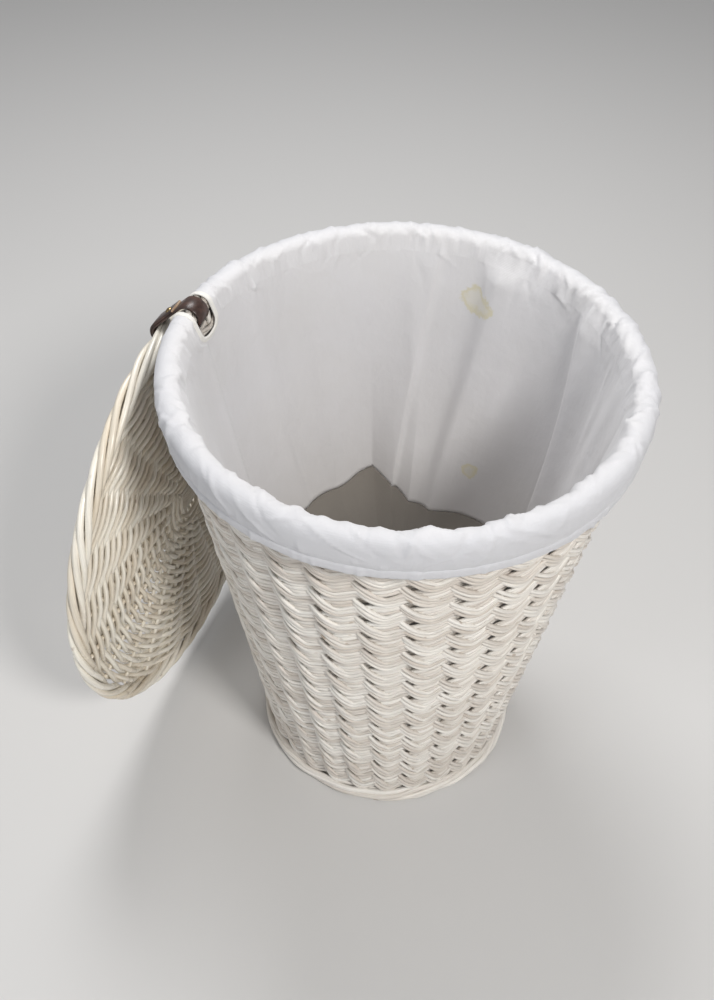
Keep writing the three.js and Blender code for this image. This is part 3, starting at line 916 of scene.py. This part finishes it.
def band(name, radius, start, stop, n, closed, width):
    """A leather band of rounded rectangular section along the stadium path."""
    points, facing = stadium(radius, start, stop, n + 1 if closed else n)
    if closed:
        points, facing = points[:-1], facing[:-1]
    half_w, half_t, e = width / 2, STRAP_T / 2, 0.6
    section = [(-half_w + e, half_t), (0, half_t + 0.15), (half_w - e, half_t), (half_w, half_t - e)]
    section += [(half_w, -half_t + e), (half_w - e, -half_t), (-half_w + e, -half_t)]
    section += [(-half_w, -half_t + e), (-half_w, half_t - e)]
    section = np.array(section)
    k = len(section)
    x = points[:, 0, None] + facing[:, 0, None] * section[None, :, 1]
    z = points[:, 1, None] + facing[:, 1, None] * section[None, :, 1]
    y = np.broadcast_to(section[None, :, 0], x.shape)
    verts = np.stack([x, y, z], -1).reshape(-1, 3)
    count = len(points)
    i = np.arange(count if closed else count - 1)[:, None] * k
    i2 = (i + k) % (count * k)
    j = np.arange(k)[None]
    j2 = (j + 1) % k
    quads = np.stack([i + j, i2 + j, i2 + j2, i + j2], -1).reshape(-1, 4)
    faces = [quads]
    which = np.zeros(len(quads), int)
    if not closed:
        faces.append(np.stack([np.arange(k), (count - 1) * k + np.arange(k)[::-1]]))
        which = np.concatenate([which, [1, 1]])
    piece = mesh_object(name, STRAP, verts, faces, [brown_leather, cut_leather], which)
    bevel = piece.modifiers.new("edges", "BEVEL")
    bevel.width, bevel.segments, bevel.limit_method = 0.0003, 2, "ANGLE"
    bevel.angle_limit = math.radians(50)
    return piece


around = 2 * (STRAP_LENGTH + math.pi * STRAP_R)
strap = band("strap_band", STRAP_R, 0, around, 120, True, STRAP_W)
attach(strap, "strap")
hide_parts("hinge_strap")
FLAP_START, FLAP_LENGTH = STRAP_LENGTH - 9.0, 58.0
flap_from = FLAP_START - FLAP_LENGTH
flap = band("strap_flap", STRAP_R + STRAP_T, flap_from, FLAP_START, 60, False, STRAP_W - 0.6)
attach(flap, "strap")

# Radius and height of the rivet's domed head, shank and burr, from the top
RIVET = [(1.2, 1.75), (2.4, 1.3), (3.4, 0.6), (3.9, 0.0), (4.0, -0.4)]
RIVET += [(1.5, -0.5), (1.5, -4.7), (3.8, -4.9), (3.8, -5.6)]
HEAD_GAP = 0.3  # between the flap's face and the rivet's height 0
sides = 32
a = np.arange(sides) * TURN / sides
rivet_verts = [
    (STRAP_LENGTH / 2 + r * math.cos(t), r * math.sin(t), STRAP_R + 1.5 * STRAP_T + HEAD_GAP + h)
    for r, h in RIVET
    for t in a
]
levels = len(RIVET)
i = np.arange(levels - 1)[:, None] * sides
j = np.arange(sides)[None]
j2 = (j + 1) % sides
rivet_quads = np.stack([i + j, i + sides + j, i + sides + j2, i + j2], -1).reshape(-1, 4)
rivet_caps = np.stack([np.arange(sides), (levels - 1) * sides + np.arange(sides)[::-1]])
rivet = mesh_object("rivet", STRAP, rivet_verts, [rivet_quads, rivet_caps], old_brass)
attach(rivet, "strap")
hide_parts("strap_rivet")


# ---------------------------------------------------------------- stage, light and camera

floor_mesh = bpy.data.meshes.new("floor")
floor_mesh.from_pydata([(-6, -6, 0), (6, -6, 0), (6, 6, 0), (-6, 6, 0)], [], [(0, 1, 2, 3)])
floor = bpy.data.objects.new("floor", floor_mesh)
bpy.context.collection.objects.link(floor)
ground = Nodes("pale_floor")
floor_mesh.materials.append(ground.finish(Base_Color=rgb(0.62, 0.61, 0.60), Roughness=0.8))

world = bpy.data.worlds.new("studio")
bpy.context.scene.world = world
world.use_nodes = True
world.node_tree.nodes["Background"].inputs["Color"].default_value = rgb(0.95, 0.97, 1.0)
world.node_tree.nodes["Background"].inputs["Strength"].default_value = 0.26


def area_light(name, place, target, size, power, colour):
    data = bpy.data.lights.new(name, "AREA")
    data.shape, data.size, data.energy, data.color = "DISK", size, power, colour
    lamp = bpy.data.objects.new(name, data)
    bpy.context.collection.objects.link(lamp)
    back = np.array(place, float) - np.array(target, float)
    z = unit(back)
    x = unit(np.cross((0, 0, 1), z))
    y = np.cross(z, x)
    lamp.matrix_world = Matrix(frame_matrix(place, x, y, z).tolist())
    return lamp


area_light("key", (0.95, -1.5, 2.15), (0.02, 0, 0.35), 0.5, 37, (1.0, 0.985, 0.96))
area_light("fill", (-1.9, -1.5, 1.2), (0, 0, 0.3), 1.2, 12, (0.94, 0.97, 1.0))
area_light("front", (0.9, -2.4, 0.8), (-0.1, 0, 0.25), 0.9, 6, (1.0, 0.98, 0.95))
area_light("top", (-0.2, 0.9, 2.2), (0, 0, 0.4), 0.9, 27, (1.0, 1.0, 1.0))

# The camera, its distances in rim radii
UNIT = 0.225  # the rim's radius, in metres
LOOK = np.array([-0.1835, 0.0, 1.562]) * UNIT + AXIS * 0.001
ELEVATION, ROLL_ANGLE, DISTANCE = math.radians(46.669), math.radians(1.26), 4.9746 * UNIT
back = np.array([0, -math.cos(ELEVATION), math.sin(ELEVATION)])
right = np.array([1.0, 0, 0])
up = np.cross(back, right)
camera_data = bpy.data.cameras.new("camera")
camera = bpy.data.objects.new("camera", camera_data)
bpy.context.collection.objects.link(camera)
camera_data.sensor_width = 36.0
camera_data.lens = 39.6
camera_data.clip_start = 0.01
rolled_x = right * math.cos(ROLL_ANGLE) + up * math.sin(ROLL_ANGLE)
rolled_y = up * math.cos(ROLL_ANGLE) - right * math.sin(ROLL_ANGLE)
camera.matrix_world = Matrix(frame_matrix(LOOK + back * DISTANCE, rolled_x, rolled_y, back).tolist())
bpy.context.scene.camera = camera
bpy.context.scene.view_settings.view_transform = "Standard"
